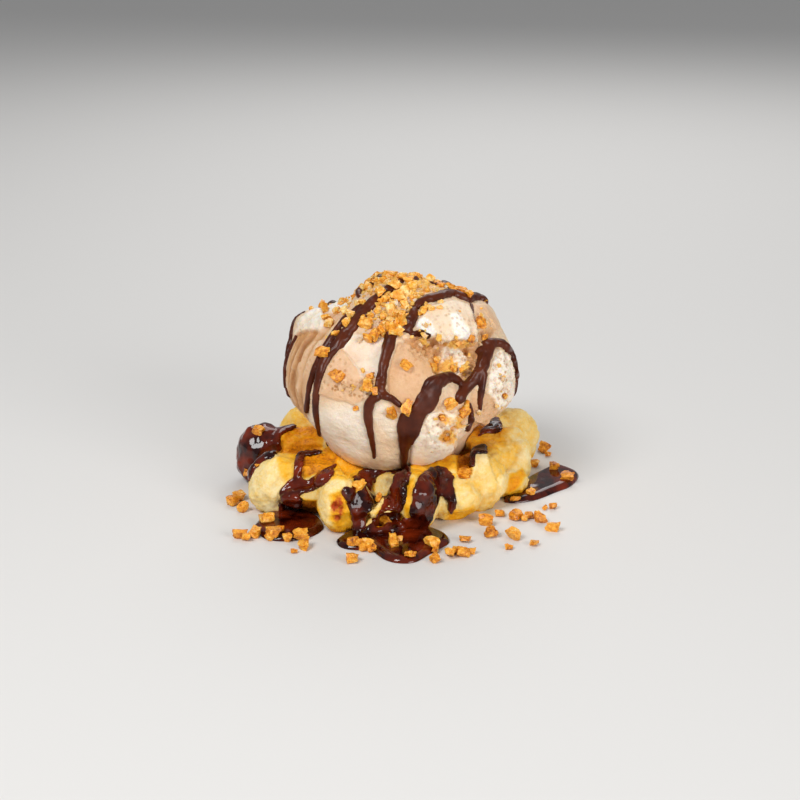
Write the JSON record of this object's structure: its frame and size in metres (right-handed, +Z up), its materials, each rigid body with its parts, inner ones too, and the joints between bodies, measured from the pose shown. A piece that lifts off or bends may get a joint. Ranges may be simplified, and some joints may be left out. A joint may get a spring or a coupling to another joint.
{
  "type": "waffle with ice cream",
  "caption": "Thick grid waffle under a large ball of ripple ice cream, with chocolate sauce drizzled over it, toffee chips and sauce pools at its foot; a dessert to eat.",
  "frame": {"origin": "on the plane that the waffle rests on, under the middle of the waffle", "axes": "+Z up, -Y towards the front of the dessert as it is seen, +X to the viewer's right"},
  "size_m": [0.1029, 0.1077, 0.0642],
  "materials": {
    "waffle": "baked, dry and slightly rough",
    "ice_cream": "frozen, soft satin",
    "chocolate_sauce": "wet gloss",
    "toffee": "hard sugar, satin"
  },
  "bodies": {
    "root": {"waffle": "waffle", "ice_cream": "ice_cream", "sauce_pool_front": "chocolate_sauce", "sauce_pool_left": "chocolate_sauce", "sauce_pool_right": "chocolate_sauce"}
  },
  "joints": []
}
